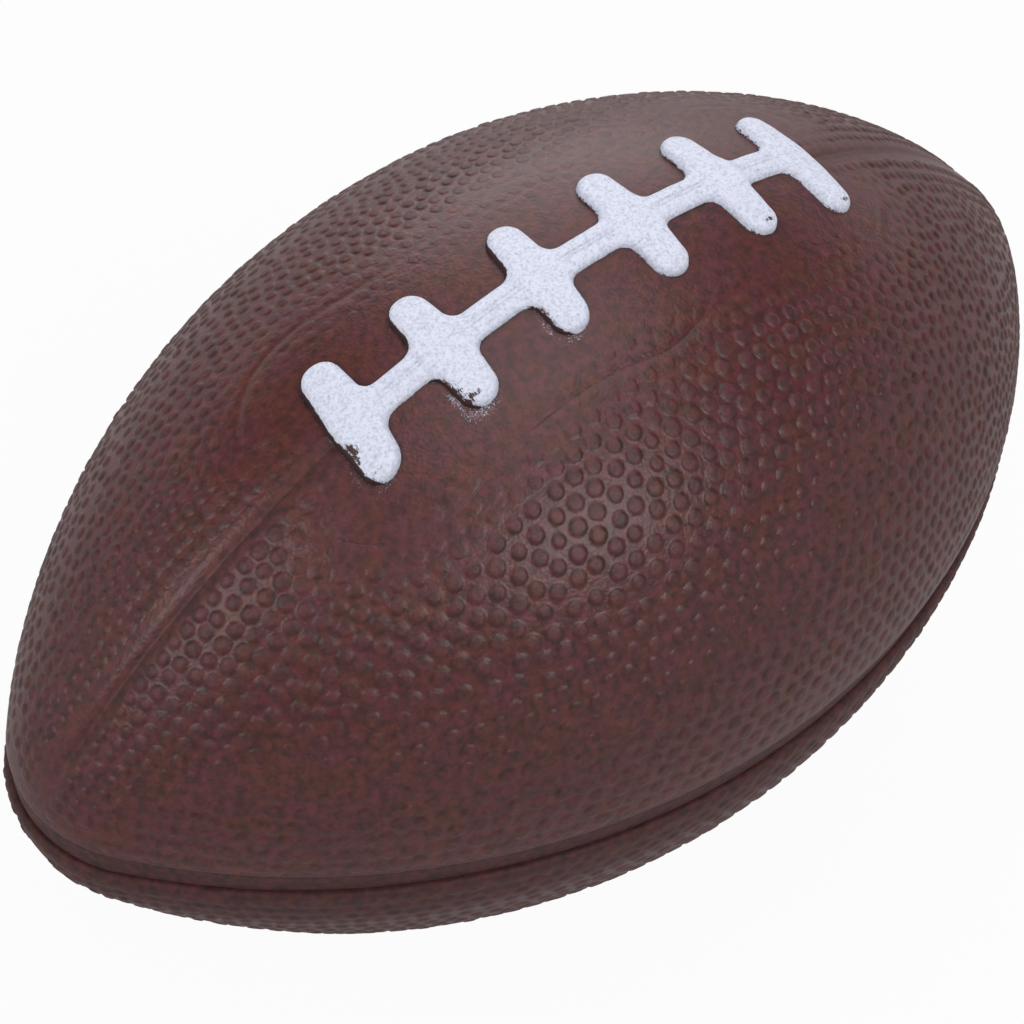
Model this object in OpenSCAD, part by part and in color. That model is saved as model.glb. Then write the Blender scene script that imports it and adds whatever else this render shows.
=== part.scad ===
// Moulded foam football, mini size
// Frame: X runs from tip to tip, Z points up through the laces, origin at the centre of the ball

/* [Ball] */
// Length from tip to tip
ball_l = 150; // [140:1:160]
// Diameter at the middle
ball_d = 88; // [82:1:94]
// Radius of the blunt tips
tip_r = 17; // [15:0.5:19]
// Thickness of the closed skin round the foam
skin_t = 2; // [1.6:0.1:3]

/* [Parting seam] */
// Width of the flat channel that runs above the parting line
channel_w = 4.2; // [3:0.1:6]
// Depth of that channel
channel_depth = 0.7; // [0.4:0.1:1]

/* [Panel seam] */
// Width of the V groove at the surface
groove_w = 2.6; // [1.6:0.1:3.4]
// Depth of the V groove
groove_depth = 0.45; // [0.3:0.05:0.8]

/* [Lace panel] */
// Half the width of the smooth panel in the middle
mid_half = 14.5; // [13.5:0.1:16]
// Radius of the bulge in the middle of each long side
mid_r = 12; // [8:0.5:20]
// Radius of the hollow arcs that lead from the bulge to the lobes
waist_r = 54; // [40:1:80]
// Distance of the lobe centres from the middle of the ball, along X
lobe_x = 29; // [27:0.5:31]
// Distance of the lobe centres from the lace line
lobe_y = 1.8; // [1:0.1:3]
// Radius of the lobes at the panel's four corners
lobe_r = 12.9; // [12:0.1:14]
// Where the fishtail notch at each end starts, along X
notch_x = 30.8; // [30:0.2:32]
// Slope of the notch's sides away from the lace line, in degrees
notch_slope = 32.5; // [28:0.5:36]
// Width of the crease round the panel
crease_w = 0.5; // [0.3:0.1:1]
// Depth of that crease
crease_depth = 0.2; // [0.1:0.05:0.4]

/* [Laces] */
// Distance between the two middle cross laces
mid_pitch = 13.9; // [13:0.1:15]
// Distance from a middle cross lace to the next one out
next_pitch = 13.1; // [12:0.1:14]
// Distance from that cross lace to the end one
end_pitch = 12.2; // [11:0.1:13]
// Length of a cross lace over its round ends
bar_l = 16.5; // [14:0.1:18]
// Width of a cross lace where it meets the lengthwise lace
bar_w = 5.7; // [5:0.1:6.5]
// Width of a cross lace at its round ends
bar_end_w = 4.8; // [4:0.1:5]
// Height of the cross laces above the skin
bar_h = 1.2; // [0.8:0.1:1.6]
// Width of the lengthwise lace
strip_w = 3.9; // [3:0.1:4.6]
// Height of the lengthwise lace above the skin
strip_h = 0.9; // [0.6:0.1:1.2]
// Radius of the fillets where the laces cross
fillet_r = 1.5; // [1:0.1:2]
// Width of the two lines scored along the lengthwise lace
score_w = 0.35; // [0.2:0.05:0.5]
// Depth of those lines
score_depth = 0.3; // [0.1:0.05:0.4]
// Distance between them, centre to centre
score_gap = 0.8; // [0.6:0.1:1.6]

/* [Hidden] */
$fn = 180;

// Overrun of every cut past the face that it opens
overrun = 2;
half_l = ball_l / 2;
ball_r = ball_d / 2;
// The long side of the profile is one arc, drawn a hair tighter than tangent so that it crosses the tip arcs
tuck = 0.05;
tip_c = half_l - tip_r;
side_r = (pow(tip_c, 2) + pow(ball_r, 2) - pow(tip_r, 2)) / (2 * (ball_r - tip_r)) - tuck;
side_c = side_r - ball_r;
// Angle from the middle of the ball to the place where the two arcs meet, seen from the side arc's centre
join_angle = atan2(tip_c, side_c);

// Places of the cross laces along X
bar_places = [mid_pitch / 2, mid_pitch / 2 + next_pitch, mid_pitch / 2 + next_pitch + end_pitch];
lace_end = bar_places[2] + bar_w / 2;
bar_end_r = bar_end_w / 2;
bar_straight = bar_l / 2 - bar_end_r;
// Lean of a cross lace's sides, from their taper
bar_lean = atan2(bar_w / 2 - bar_end_r, bar_straight);

// Each hollow arc of the panel is tangent to the middle bulge and to a lobe: its centre closes the triangle
// that stands on the centres of those two
mid_c = mid_half - mid_r;
base_l = sqrt(pow(lobe_x, 2) + pow(lobe_y - mid_c, 2));
mid_reach = waist_r + mid_r;
lobe_reach = waist_r + lobe_r;
base_turn = atan2(lobe_y - mid_c, lobe_x);
open_turn = acos((pow(mid_reach, 2) + pow(base_l, 2) - pow(lobe_reach, 2)) / (2 * mid_reach * base_l));
waist_x = mid_reach * cos(base_turn + open_turn);
waist_y = mid_c + mid_reach * sin(base_turn + open_turn);

// Half of the ball's outline with its size changed by grow, radius along X and length along Y
module half_profile(grow) {
    join = tip_c + (tip_r + grow) * sin(join_angle);
    reach = half_l + overrun;
    intersection() {
        translate([-side_c, 0]) circle(r = side_r + grow);
        translate([0, -reach]) square([reach, 2 * reach]);
        union() {
            translate([-overrun, -join]) square([reach, 2 * join]);
            for (end = [0, 1])
                mirror([0, end])
                    translate([0, tip_c]) circle(r = tip_r + grow);
        }
    }
}

// Solid ball, its surface moved out by grow
module ball(grow) {
    rotate([0, 90, 0]) rotate_extrude() half_profile(grow);
}

// Layer of the ball between two depths, counted outward from the surface
module layer(from, to) {
    difference() {
        ball(to);
        ball(from);
    }
}

// Everything above the parting plane
module upper_space() {
    reach = half_l + overrun;
    translate([-reach, -reach, 0]) cube([2 * reach, 2 * reach, reach]);
}

// Section of the V groove, as far from the Y axis as the arc that it follows
module groove_section(arc_r) {
    open_half = groove_w / 2 * (1 + overrun / groove_depth);
    polygon([
        [arc_r - groove_depth, 0],
        [arc_r + overrun, open_half],
        [arc_r + overrun, -open_half]
    ]);
}

// V groove along the top of the ball, between two angles from its middle, seen from the side arc's centre
module groove(from, to) {
    translate([0, 0, -side_c])
        rotate([90, 0, 0])
            rotate([0, 0, 90 - to])
                rotate_extrude(angle = to - from) groove_section(side_r);
}

// Point past the place where a hollow arc touches the arc of radius r round the centre c
function past_touch(c, r) = c + ([waist_x, waist_y] - c) * (r + overrun) / norm([waist_x, waist_y] - c);

// Outline of the smooth panel seen from above, moved out by grow
module panel_outline(grow) {
    lobe_past = past_touch([lobe_x, lobe_y], lobe_r + grow);
    mid_past = past_touch([0, mid_c], mid_r + grow);
    notch_shift = grow / sin(notch_slope);
    notch_reach = 2 * lobe_r;
    difference() {
        for (side_y = [0, 1])
            mirror([0, side_y]) {
                for (side_x = [0, 1])
                    mirror([side_x, 0])
                        translate([lobe_x, lobe_y]) circle(r = lobe_r + grow);
                translate([0, mid_c]) circle(r = mid_r + grow);
                polygon([
                    [lobe_x, -lobe_y],
                    [lobe_x, lobe_y],
                    lobe_past,
                    mid_past,
                    [0, mid_c],
                    [-mid_past.x, mid_past.y],
                    [-lobe_past.x, lobe_past.y],
                    [-lobe_x, lobe_y],
                    [-lobe_x, -lobe_y]
                ]);
            }
        for (side_x = [0, 1], side_y = [0, 1])
            mirror([side_x, 0])
                mirror([0, side_y])
                    translate([waist_x, waist_y]) circle(r = waist_r - grow);
        for (side_x = [0, 1])
            mirror([side_x, 0])
                translate([notch_x + notch_shift, 0])
                    polygon([
                        [0, 0],
                        [notch_reach, notch_reach * tan(notch_slope)],
                        [notch_reach, -notch_reach * tan(notch_slope)]
                    ]);
    }
}

// Crease round the panel, cut into the skin outside the laces
module panel_crease() {
    intersection() {
        layer(-crease_depth, overrun);
        linear_extrude(height = ball_r + 2 * overrun)
            difference() {
                panel_outline(crease_w / 2);
                panel_outline(-crease_w / 2);
                square([2 * lace_end, bar_l], center = true);
            }
    }
}

// One cross lace seen from above: it narrows towards its round ends
module bar_outline() {
    polygon([
        [bar_w / 2, 0],
        [bar_end_r, bar_straight],
        [-bar_end_r, bar_straight],
        [-bar_w / 2, 0],
        [-bar_end_r, -bar_straight],
        [bar_end_r, -bar_straight]
    ]);
    for (side_y = [0, 1])
        mirror([0, side_y])
            translate([0, bar_straight]) circle(r = bar_end_r);
}

// The corner fillets on one side of a cross lace, tangent to its leaning side and to the lengthwise lace
module bar_fillets() {
    centre_y = strip_w / 2 + fillet_r;
    centre_x = bar_w / 2 + (fillet_r - centre_y * sin(bar_lean)) / cos(bar_lean);
    for (side_y = [0, 1])
        mirror([0, side_y])
            difference() {
                polygon([
                    [0, 0],
                    [centre_x, 0],
                    [centre_x, centre_y],
                    [centre_x - fillet_r * cos(bar_lean), centre_y - fillet_r * sin(bar_lean)]
                ]);
                translate([centre_x, centre_y]) circle(r = fillet_r);
            }
}

// All six cross laces seen from above
module bars_outline() {
    for (side_x = [0, 1])
        mirror([side_x, 0])
            for (i = [0:2])
                translate([bar_places[i], 0]) {
                    bar_outline();
                    mirror([1, 0]) bar_fillets();
                    if (i < 2) bar_fillets();
                }
}

// The lines scored along the lengthwise lace, between the cross laces
module score_lines() {
    for (side_y = [0, 1])
        mirror([0, side_y])
            translate([0, score_gap / 2])
                square([2 * bar_places[2], score_w], center = true);
}

module foam_core() {
    color("tan") ball(-skin_t);
}

module upper_skin() {
    color("#5a3a38")
        difference() {
            intersection() {
                layer(-skin_t, 0);
                upper_space();
            }
            intersection() {
                layer(-channel_depth, overrun);
                translate([-half_l - overrun, -half_l - overrun, -overrun])
                    cube([ball_l + 2 * overrun, ball_l + 2 * overrun, channel_w + overrun]);
            }
            for (side_x = [0, 1])
                mirror([side_x, 0, 0]) groove(asin(lace_end / side_r), join_angle);
            panel_crease();
        }
}

module lower_skin() {
    color("#53332f")
        difference() {
            layer(-skin_t, 0);
            upper_space();
            mirror([0, 0, 1]) groove(-join_angle, join_angle);
        }
}

module laces() {
    color("#e6e8f2")
        difference() {
            union() {
                intersection() {
                    ball(bar_h);
                    linear_extrude(height = ball_r + 2 * overrun) bars_outline();
                }
                intersection() {
                    ball(strip_h);
                    linear_extrude(height = ball_r + 2 * overrun)
                        square([2 * bar_places[2], strip_w], center = true);
                }
            }
            ball(0);
            intersection() {
                layer(strip_h - score_depth, strip_h + overrun);
                linear_extrude(height = ball_r + 2 * overrun)
                    difference() {
                        score_lines();
                        bars_outline();
                    }
            }
        }
}

foam_core();
upper_skin();
lower_skin();
laces();
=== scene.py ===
import math

import bpy
import numpy as np
from mathutils import Matrix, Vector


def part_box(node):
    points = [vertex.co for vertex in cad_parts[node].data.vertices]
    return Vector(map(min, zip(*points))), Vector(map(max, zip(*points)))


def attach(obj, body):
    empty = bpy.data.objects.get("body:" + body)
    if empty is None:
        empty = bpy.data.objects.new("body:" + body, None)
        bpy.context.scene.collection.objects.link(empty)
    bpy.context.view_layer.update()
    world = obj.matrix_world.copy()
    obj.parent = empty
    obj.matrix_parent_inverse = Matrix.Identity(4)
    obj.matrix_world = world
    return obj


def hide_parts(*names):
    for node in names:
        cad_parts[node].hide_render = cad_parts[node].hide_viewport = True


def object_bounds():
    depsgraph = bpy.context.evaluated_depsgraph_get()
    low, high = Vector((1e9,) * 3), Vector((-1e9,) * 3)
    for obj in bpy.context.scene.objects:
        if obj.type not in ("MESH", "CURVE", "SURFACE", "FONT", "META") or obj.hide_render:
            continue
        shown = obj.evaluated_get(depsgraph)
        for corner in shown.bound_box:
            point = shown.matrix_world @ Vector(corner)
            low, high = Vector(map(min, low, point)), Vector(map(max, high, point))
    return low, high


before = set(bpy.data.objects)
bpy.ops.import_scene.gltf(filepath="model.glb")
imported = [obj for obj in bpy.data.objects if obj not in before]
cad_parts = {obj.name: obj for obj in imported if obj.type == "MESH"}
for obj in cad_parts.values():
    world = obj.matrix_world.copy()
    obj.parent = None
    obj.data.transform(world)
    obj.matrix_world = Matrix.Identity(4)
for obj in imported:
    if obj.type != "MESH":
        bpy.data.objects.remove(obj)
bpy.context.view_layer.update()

# A small toy football, moulded from self-skinned foam: two pebbled skin halves, white painted laces
# and the foam inside. Every shape is worked out in millimetres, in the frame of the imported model.
mm = 0.001
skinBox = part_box("lower_skin")
halfLength = round(skinBox[1].x / mm, 1)
ballRadius = round(skinBox[1].y / mm, 1)

ball = {
    "tipRadius": 17.0,  # the blunt ends
    "tuck": 0.05,  # the long arc is drawn this much tighter, so that it crosses the tip arcs
    "skinThickness": 2.0,
    "unevenness": 0.06,
}
tipCentre = halfLength - ball["tipRadius"]
sideRadius = (tipCentre**2 + ballRadius**2 - ball["tipRadius"] ** 2) / 2 / (ballRadius - ball["tipRadius"])
sideRadius -= ball["tuck"]
sideDrop = sideRadius - ballRadius  # how far the long arc's centre lies beyond the axis
joinAngle = math.atan2(tipCentre, sideDrop)
joinX = sideRadius * math.sin(joinAngle)


def smoothStep(low, high, value):
    # 0 below low, 1 above high, and an S curve between them
    share = np.clip((value - low) / (high - low), 0, 1)
    return share * share * (3 - 2 * share)


def bell(value, width):
    # 1 at zero, and 1/e of it one width away
    return np.exp(-((value / width) ** 2))


def radiusAt(x):
    # The ball's radius at x: the long arc between the joins, and the tip's arc outside them
    side = np.sqrt(np.maximum(sideRadius**2 - x**2, 0)) - sideDrop
    tip = np.sqrt(np.maximum(ball["tipRadius"] ** 2 - (np.abs(x) - tipCentre) ** 2, 0))
    return np.where(np.abs(x) < joinX, side, tip)


def reachAt(height):
    # The other way round: how far along X the ball is still as high as this above its axis
    side = np.sqrt(np.maximum(sideRadius**2 - (height + sideDrop) ** 2, 0))
    tip = tipCentre + np.sqrt(np.maximum(ball["tipRadius"] ** 2 - height**2, 0))
    return np.where(height > radiusAt(np.float64(joinX)), side, tip)


def outwardAt(points):
    # Unit normals of the plain ball: on the long arc the sine of their slope is x over the arc's radius,
    # on a tip the distance past its centre over its radius
    x = points[..., 0]
    past = np.sign(x) * (np.abs(x) - tipCentre) / ball["tipRadius"]
    slope = np.clip(np.where(np.abs(x) < joinX, x / sideRadius, past), -1, 1)
    around = points[..., 1:] / np.maximum(np.linalg.norm(points[..., 1:], axis=-1, keepdims=True), 1e-9)
    return np.concatenate([slope[..., None], around * np.sqrt(1 - slope**2)[..., None]], -1)


def ontoBall(points):
    # The nearest point of the plain ball, found in the plane through the axis: from the long arc's centre
    # or, past the join, from the tip's
    x, out = np.abs(points[:, 0]), np.linalg.norm(points[:, 1:], axis=1)
    angle = np.arctan2(x, out + sideDrop)
    tipAngle = np.maximum(np.arctan2(x - tipCentre, out), joinAngle)
    onSide = angle < joinAngle
    newX = np.where(onSide, sideRadius * np.sin(angle), tipCentre + ball["tipRadius"] * np.sin(tipAngle))
    newOut = np.where(onSide, sideRadius * np.cos(angle) - sideDrop, ball["tipRadius"] * np.cos(tipAngle))
    around = points[:, 1:] / np.maximum(out, 1e-9)[:, None]
    return np.concatenate([(np.sign(points[:, 0]) * newX)[:, None], around * newOut[:, None]], 1)


def alongSide(length):
    # Place along X and radius at this arc length from the middle of the ball's outline
    angle = np.abs(length) / sideRadius
    tipAngle = joinAngle + (np.abs(length) - sideRadius * joinAngle) / ball["tipRadius"]
    tipAngle = np.minimum(tipAngle, math.pi / 2)
    onSide = angle < joinAngle
    x = np.where(onSide, sideRadius * np.sin(angle), tipCentre + ball["tipRadius"] * np.sin(tipAngle))
    out = np.where(onSide, sideRadius * np.cos(angle) - sideDrop, ball["tipRadius"] * np.cos(tipAngle))
    return np.sign(length) * x, out


grain = {
    "spacing": 2.55,  # dome to dome in the middle of the ball, on the side of -Y
    "farSpacing": 2.1,  # and on the other side
    "endSpacing": 1.95,  # and near its tips
    "shrink": (4.0, 44.0),  # along +X, where the spacing starts and stops to shrink
    "farShrink": (30.0, 80.0),  # and along -X
    "rowPitch": 2.1,  # row to row along the seams
    "domeShare": 0.4,  # dome radius over spacing
    "domeHeight": 0.18,
    "flatShare": 0.62,  # share of a dome's radius that is nearly flat
    "topDullShade": 0.33,  # how much rougher the domes' tops are than the skin between them, and darker with painted shade
    "seamGap": 2.7,  # from the seam's middle to the first row
    "rimGap": 1.5,  # from the parting seam's edge to the first row
    "rimShare": 0.5,  # how high the first rows above the channel are
    "rimBand": 7.0,  # and where, above it, they have their full height
    "rowShift": 0.2,  # how far along itself a whole row may lie off its even place, in domes
    "rowTrim": 0.3,  # how far before the line of 45 degrees the rows stop, in rows
    "drift": 0.45,  # how far the inner rows are shaken before the domes push each other apart
    "loose": (1, 6),  # the rows between which that shaking sets in
    "pushes": 16,
    "pushShare": 0.25,
    "jitter": 0.09,
    "seamSlack": 0.5,  # how much nearer than the first row a pushed dome may lie to the seam
    "rimSlack": 0.4,  # and to the rim
    "widthSpread": 0.06,
    "heightSpread": 0.15,
    "buttonShare": 0.82,  # share of a dome's height that has the flat top; a paraboloid gives the rest
    "footPlace": 0.85,  # where on a dome's radius its ring of painted shade lies
    "footWidth": 0.15,
    "topEdge": (0.7, 0.95),  # and where its top ends, rougher and darker with painted shade
    "seed": 11,
}


def spacingAt(x, middle):
    # Dome to dome at x: middle near the laces, and along an S curve the tips' spacing towards the tips
    share = np.where(x > 0, smoothStep(*grain["shrink"], x), smoothStep(*grain["farShrink"], -x))
    return middle + (grain["endSpacing"] - middle) * share


def grainQuarter(rimStart, middle, rng):
    # Dome centres on the quarter with y and z above zero. Rows follow the seam up to 45 degrees from it,
    # and the parting plane beyond that, and every dome has the area of a honeycomb cell of its spacing.
    # The inner rows are shaken. Then crowded domes push each other apart, all but those of the first rows.
    tipLength = sideRadius * joinAngle + ball["tipRadius"] * (math.pi / 2 - joinAngle)
    fine = np.linspace(-tipLength, tipLength, 3000)
    perLength = grain["rowPitch"] / (math.sqrt(0.75) * spacingAt(alongSide(fine)[0], middle) ** 2)
    passed = np.cumsum(perLength) * (fine[1] - fine[0])
    rows = np.arange(0, ballRadius, grain["rowPitch"])
    row, place = np.meshgrid(np.arange(len(rows)), np.arange(int(passed[-1])), indexing="ij")
    shift = rng.uniform(-grain["rowShift"], grain["rowShift"], len(rows))[row] + 0.5 * (row % 2)
    found = []
    for fromSeam in (True, False):
        x, out = alongSide(np.interp(place + shift, passed, fine))
        away = rows[row] + (grain["seamGap"] if fromSeam else rimStart)
        keep = away < out * math.pi / 4 - grain["rowPitch"] * grain["rowTrim"]
        angle = away / np.maximum(out, 1e-6)
        up = np.cos(angle) if fromSeam else np.sin(angle)
        across = np.sin(angle) if fromSeam else np.cos(angle)
        found.append(np.stack([x, out * across, out * up, row], -1)[keep])
    found = np.concatenate(found)
    loose = smoothStep(*grain["loose"], found[:, 3])[:, None]
    centres = ontoBall(found[:, :3] + rng.normal(0, grain["drift"], (len(found), 3)) * loose)
    free = (found[:, 3] > 0)[:, None]
    for _ in range(grain["pushes"]):
        squares = (centres**2).sum(1)
        gap = np.sqrt(np.maximum(squares[:, None] + squares[None] - 2 * centres @ centres.T, 1e-9))
        wanted = spacingAt(centres[:, 0], middle)
        push = np.maximum((wanted[:, None] + wanted[None]) / 2 - gap, 0) / np.maximum(gap, 0.3)
        np.fill_diagonal(push, 0)
        moved = centres * push.sum(1)[:, None] - push @ centres
        centres = ontoBall(centres + grain["pushShare"] * moved * free)
    centres = ontoBall(centres + rng.normal(0, grain["jitter"], centres.shape))
    offSeam = centres[:, 1] > grain["seamGap"] - grain["seamSlack"]
    return centres[offSeam & (centres[:, 2] > rimStart - grain["rimSlack"])]


panel = {
    "lobeX": 29.0,
    "lobeY": 1.8,
    "lobeRadius": 12.9,
    "waistX": 14.0,
    "waistHalf": 13.0,
    "middleHalf": 14.5,
    "notchX": 30.8,
    "notchSlope": 32.5,
    "shift": 0.45,  # the foam came out of its mould with the panel a little to one side of the seam
    "creaseWidth": 0.9,
    "creaseDepth": 0.1,
    "creaseFade": 0.75,  # how much of the crease is lost where the mould was worn
    "farWear": 0.3,  # how much sooner it counts as worn on the side of +Y
    "lineWidth": 0.28,  # the sharp line of painted shade at the bottom of the crease
    "wornLine": 0.12,  # how much further off that line counts where the crease is worn, which thins it
    "farLine": 0.05,  # and on the side of +Y
    "lineReach": 3.0,  # as far as its distance is kept for the material
    "bareHalf": 8.5,  # no domes at all this near the laces
    "faintHalf": 13.0,
    "faintShare": 0.3,  # how high the domes stand inside the crease
    "firstShare": 0.2,  # and right outside it
    "creaseClear": (0.2, 0.9),  # how near to it the domes are still held down
    "fadeIn": 6.5,  # how far outside it the domes are whole, on the side of -Y
    "farFadeIn": 8.0,  # and on the other side
    "fadeWaver": 0.9,
    "margin": (3.0, 5.0),  # how far past the panel, along X and Y, distances to it are worked out
    "farAway": 9.0,  # and what stands for them elsewhere
}


def panelOutline():
    # Points round a quarter of the panel, close together: the middle's arc, the waist's and the lobe's,
    # each tangent to the next, then the straight side of the notch. The centres of two tangent arcs lie
    # as far apart as both radii together: that gives the waist's radius and, from it, the middle's.
    lobeX, lobeY, lobeRadius = panel["lobeX"], panel["lobeY"], panel["lobeRadius"]
    waistX, slope = panel["waistX"], math.radians(panel["notchSlope"])
    drop, away = panel["waistHalf"] - lobeY, lobeX - waistX
    waistRadius = (away**2 + drop**2 - lobeRadius**2) / (2 * (lobeRadius - drop))
    waistY = panel["waistHalf"] + waistRadius
    depth = waistY - panel["middleHalf"]
    middleRadius = (waistX**2 + depth**2 - waistRadius**2) / (2 * (waistRadius - depth))
    middleY = panel["middleHalf"] - middleRadius
    toWaist = math.atan2(waistX, waistY - middleY)
    toLobe = math.atan2(away, waistY - lobeY)
    startX, startY = panel["notchX"] - lobeX, -lobeY
    half = startX * math.cos(slope) + startY * math.sin(slope)
    length = -half + math.sqrt(half**2 - startX**2 - startY**2 + lobeRadius**2)
    corner = math.atan2(startX + length * math.cos(slope), startY + length * math.sin(slope))
    turn = np.linspace(0, toWaist, 120)
    middle = np.stack([middleRadius * np.sin(turn), middleY + middleRadius * np.cos(turn)], 1)
    turn = np.linspace(-toWaist, toLobe, 300)
    waist = np.stack([waistX + waistRadius * np.sin(turn), waistY - waistRadius * np.cos(turn)], 1)
    turn = np.linspace(-toLobe, corner, 700)
    lobe = np.stack([lobeX + lobeRadius * np.sin(turn), lobeY + lobeRadius * np.cos(turn)], 1)
    along = np.linspace(length, 0, 280)
    notch = np.stack([panel["notchX"] + along * math.cos(slope), along * math.sin(slope)], 1)
    return middle, waist, lobe, notch


def panelDistance(x, y):
    # Distance to the panel's outline, below zero inside it, from the nearest of the outline's points. A
    # place is inside where its y is less than the outline's at the same x and it isn't in the notch.
    middle, waist, lobe, notch = panelOutline()
    outline = np.concatenate([middle, waist, lobe, notch])
    x, y = np.abs(x), np.abs(y)
    marginX, marginY = panel["margin"]
    away = np.full(x.shape, panel["farAway"])
    near = (x < panel["lobeX"] + panel["lobeRadius"] + marginX) & (y < panel["middleHalf"] + marginY)
    near = np.flatnonzero(near)
    for part in np.array_split(near, 40):
        gap = (x.flat[part][:, None] - outline[:, 0]) ** 2 + (y.flat[part][:, None] - outline[:, 1]) ** 2
        away.flat[part] = np.sqrt(gap.min(1))
    top = np.concatenate([middle, waist, lobe[lobe[:, 1] > lobe[-1, 1]]])
    top = top[np.concatenate([[True], np.diff(np.maximum.accumulate(top[:, 0])) > 0])]
    edge = np.interp(x, top[:, 0], top[:, 1], right=0)
    pastNotch = x - panel["notchX"]
    inNotch = (pastNotch > 0) & (y < pastNotch * math.tan(math.radians(panel["notchSlope"])))
    return np.where((y < edge) & ~inNotch, -away, away)


uneven = {  # what the mould and the trimming left uneven: wave lengths in millimetres, and a seed
    "fade": ((11, 6), 21),
    "wear": ((23, 9), 14),
    "lip": ((9, 3.5), 5),
    "rim": ((6, 2.2, 1.1), 8),
    "skin": ((38, 21), 3),
    "laces": ((5, 2.4), 4),
}


def waver(points, what):
    # Sum of a few sine waves through space, between about -1 and 1
    sizes, seed = uneven[what]
    rng = np.random.default_rng(seed)
    total = np.zeros(points.shape[:-1])
    for size in sizes:
        for _ in range(3):
            way = rng.normal(size=3)
            way *= 2 * math.pi / (size * np.linalg.norm(way))
            total += np.sin(points @ way + rng.uniform(0, 2 * math.pi))
    return total / (2 * len(sizes))


def makeMesh(name, points, faces, flat, marks):
    # Points in millimetres; faces as arrays of corner numbers, the last `flat` of them not smoothed; marks
    # are values kept on the points for the materials
    mesh = bpy.data.meshes.new(name)
    corners = np.concatenate([f.ravel() for f in faces]).astype(np.int32)
    counts = np.concatenate([np.full(len(f), f.shape[1]) for f in faces])
    starts = np.concatenate([[0], np.cumsum(counts)[:-1]]).astype(np.int32)
    smooth = np.concatenate([np.full(len(f), i < len(faces) - flat) for i, f in enumerate(faces)])
    mesh.vertices.add(len(points))
    mesh.vertices.foreach_set("co", (points * mm).astype(np.float32).ravel())
    mesh.loops.add(len(corners))
    mesh.loops.foreach_set("vertex_index", corners)
    mesh.polygons.add(len(counts))
    mesh.polygons.foreach_set("loop_start", starts)
    mesh.polygons.foreach_set("use_smooth", smooth)
    mesh.update(calc_edges=True)
    for mark, values in marks.items():
        kept = mesh.attributes.new(mark, "FLOAT", "POINT")
        kept.data.foreach_set("value", values.astype(np.float32).ravel())
    if mesh.validate():
        print("the mesh of", name, "had faults")
    piece = bpy.data.objects.new(name, mesh)
    bpy.context.scene.collection.objects.link(piece)
    return piece


def halfGrid(levels, columns):
    # Points of the plain upper half ball: rings at given heights, each x = reach * cos(turn) and y what is
    # left of the radius there. The turns are spaced so that the lowest ring has even steps.
    turn = np.linspace(0, math.pi / 2, 4001)
    x = reachAt(np.float64(0)) * np.cos(turn)
    y = radiusAt(x)
    length = np.concatenate([[0], np.cumsum(np.hypot(np.diff(x), np.diff(y)))])
    quarter = np.interp(np.linspace(0, length[-1], columns // 4 + 1), length, turn)[:-1]
    mirrored = np.append(quarter, math.pi / 2)[:0:-1]
    turns = np.concatenate([quarter, math.pi - mirrored, math.pi + quarter, 2 * math.pi - mirrored])
    x = reachAt(levels)[:, None] * np.cos(turns)
    y = np.sqrt(np.maximum(radiusAt(x) ** 2 - levels[:, None] ** 2, 0)) * np.where(turns < math.pi, 1, -1)
    return turns, np.stack([x, y, np.broadcast_to(levels[:, None], x.shape)], -1)


def raiseDomes(levels, turns, points, centres, rng):
    # Height of the grain on the grid: on each centre a low dome with a nearly flat top and an S curve for
    # its edge. Besides, the painted shade in a ring at a dome's foot, a bell over the radius, and how much
    # a point belongs to its top.
    height = np.zeros(points.shape[:2])
    paintedShade = np.zeros(points.shape[:2])
    tops = np.zeros(points.shape[:2])
    level = np.abs(centres[:, 2])
    row = np.interp(level, levels, np.arange(len(levels))).round().astype(int)
    turn = np.arccos(np.clip(centres[:, 0] / reachAt(level), -1, 1))
    turn = np.where(centres[:, 1] < 0, 2 * math.pi - turn, turn)
    column = np.interp(turn, np.append(turns, 2 * math.pi), np.arange(len(turns) + 1)).round().astype(int)
    spacing = spacingAt(centres[:, 0], np.where(centres[:, 1] < 0, grain["spacing"], grain["farSpacing"]))
    radius = grain["domeShare"] * spacing * rng.normal(1, grain["widthSpread"], len(centres))
    tall = grain["domeHeight"] * rng.normal(1, grain["heightSpread"], len(centres))
    step = np.linalg.norm(points[row, (column + 1) % len(turns)] - points[row, column], axis=-1)
    crowded = step <= 0.06  # near the top the columns draw together, and more of them cross a dome
    for high, wide, chosen in ((9, 18, ~crowded), (9, 72, crowded)):
        down, over = np.meshgrid(np.arange(-high, high + 1), np.arange(-wide, wide + 1), indexing="ij")
        rows = row[chosen, None] + down.ravel()
        columns = (column[chosen, None] + over.ravel()) % len(turns)
        within = (rows >= 0) & (rows < len(levels))
        rows = np.clip(rows, 0, len(levels) - 1)
        gap = np.linalg.norm(points[rows, columns] - centres[chosen, None], axis=-1) / radius[chosen, None]
        dome = grain["buttonShare"] * (1 - smoothStep(grain["flatShare"], 1, gap))
        dome += (1 - grain["buttonShare"]) * np.maximum(1 - gap**2, 0)
        # a ring of painted shade round the dome's foot
        ring = bell(gap - grain["footPlace"], grain["footWidth"])
        top = 1 - smoothStep(*grain["topEdge"], gap)
        np.maximum.at(height, (rows, columns), np.where(within, tall[chosen, None] * dome, 0))
        np.maximum.at(paintedShade, (rows, columns), np.where(within, ring, 0))
        np.maximum.at(tops, (rows, columns), np.where(within, top, 0))
    return height, paintedShade, tops


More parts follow.
